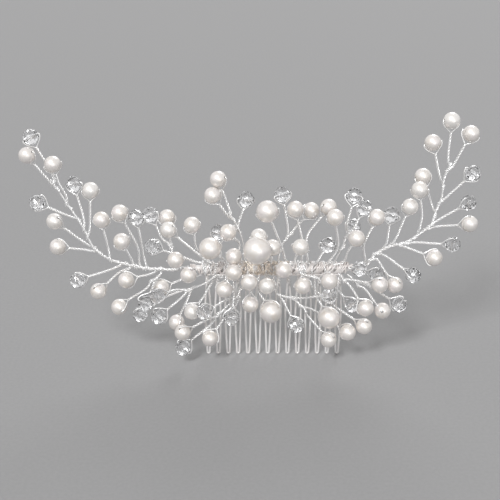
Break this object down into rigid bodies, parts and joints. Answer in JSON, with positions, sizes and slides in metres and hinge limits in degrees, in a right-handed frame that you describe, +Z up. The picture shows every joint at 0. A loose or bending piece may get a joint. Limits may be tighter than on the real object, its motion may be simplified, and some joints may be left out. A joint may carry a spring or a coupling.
{
  "type": "decorative hair comb",
  "caption": "Bent-wire hair comb whose bound rail carries sprays of pearls and cut crystals on twisted wire stems, with two long raised wings.",
  "frame": {"origin": "middle of the top rail, on its centre line, where the row of teeth hangs", "axes": "+X along the rail to the wearer's spray end with the taller wing, +Z up away from the teeth, -Y the decorated front"},
  "size_m": [0.1643, 0.024, 0.0935],
  "materials": {
    "comb_wire": "bright drawn silver-coloured wire, 0.8 mm teeth on a 2.2 mm rail",
    "binding_wire": "bright fine silver-coloured wire wound close round the rail",
    "stem_wire": "bright 0.5 mm silver-coloured wire, twisted in pairs",
    "pearl": "ivory-white pearl coat with a soft sheen",
    "crystal": "clear cut glass, faceted rondelle"
  },
  "bodies": {
    "comb": {"tooth_wires": "comb_wire", "top_rail": "comb_wire", "rail_binding": "binding_wire", "end_bindings": "binding_wire", "left_wing_stem": "stem_wire", "right_wing_stem": "stem_wire", "left_wing_wires": "stem_wire", "left_wing_pearls": "pearl", "left_wing_crystals": "crystal", "left_shoulder_wires": "stem_wire", "left_shoulder_pearls": "pearl", "left_shoulder_crystals": "crystal", "crown_wires": "stem_wire", "crown_pearls": "pearl", "crown_crystals": "crystal", "right_shoulder_wires": "stem_wire", "right_shoulder_pearls": "pearl", "right_shoulder_crystals": "crystal", "right_wing_wires": "stem_wire", "right_wing_pearls": "pearl", "right_wing_crystals": "crystal", "right_skirt_wires": "stem_wire", "right_skirt_pearls": "pearl", "right_skirt_crystals": "crystal", "centre_skirt_wires": "stem_wire", "centre_skirt_pearls": "pearl", "centre_skirt_crystals": "crystal", "left_skirt_wires": "stem_wire", "left_skirt_pearls": "pearl", "left_skirt_crystals": "crystal", "accent_loops": "stem_wire"},
    "centre_pearl": {"centre_pearl": "pearl"},
    "crown_accent_pearl": {"crown_accent_pearl": "pearl"},
    "shoulder_accent_pearl": {"shoulder_accent_pearl": "pearl"},
    "left_skirt_accent_pearl": {"left_skirt_accent_pearl": "pearl"},
    "right_skirt_accent_pearl": {"right_skirt_accent_pearl": "pearl"}
  },
  "joints": [
    {"name": "centre_pearl_turn", "type": "hinge", "parent": "comb", "child": "centre_pearl", "pos_m": [-0.006, -0.01, 0.0115], "axis": [-0.974, -0.0327, -0.2242], "continuous": true},
    {"name": "crown_accent_pearl_turn", "type": "hinge", "parent": "comb", "child": "crown_accent_pearl", "pos_m": [-0.0025, -0.004, 0.024], "axis": [-0.9457, 0.0638, -0.3188], "continuous": true},
    {"name": "shoulder_accent_pearl_turn", "type": "hinge", "parent": "comb", "child": "shoulder_accent_pearl", "pos_m": [-0.023, -0.006, 0.0105], "axis": [-0.8041, -0.0521, -0.5921], "continuous": true},
    {"name": "left_skirt_accent_pearl_turn", "type": "hinge", "parent": "comb", "child": "left_skirt_accent_pearl", "pos_m": [-0.001, -0.009, -0.0135], "axis": [0.7735, -0.1243, 0.6215], "continuous": true},
    {"name": "right_skirt_accent_pearl_turn", "type": "hinge", "parent": "comb", "child": "right_skirt_accent_pearl", "pos_m": [0.0205, -0.007, -0.017], "axis": [0.7742, -0.2753, 0.5699], "continuous": true}
  ]
}
